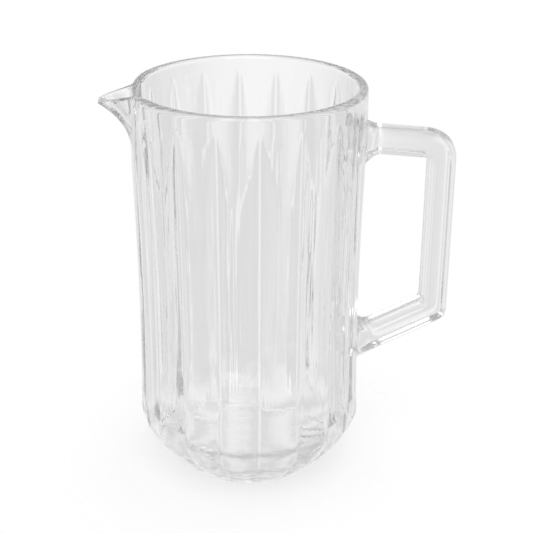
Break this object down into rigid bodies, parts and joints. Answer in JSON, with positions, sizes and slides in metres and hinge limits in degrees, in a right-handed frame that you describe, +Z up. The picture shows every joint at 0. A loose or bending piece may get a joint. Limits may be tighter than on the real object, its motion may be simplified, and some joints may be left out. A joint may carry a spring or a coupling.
{
  "type": "glass jug",
  "caption": "Clear pressed-glass jug with an upright-ribbed round body, a small pouring lip and a squared loop handle, for serving water or juice.",
  "frame": {"origin": "centre of the flat foot, on the vessel's axis", "axes": "+Z up along the vessel's axis, +X towards the handle, -X towards the lip"},
  "size_m": [0.1759, 0.115, 0.204],
  "materials": {
    "body": "clear polished",
    "handle": "clear polished"
  },
  "bodies": {
    "root": {"body": "body", "handle": "handle"}
  },
  "joints": []
}
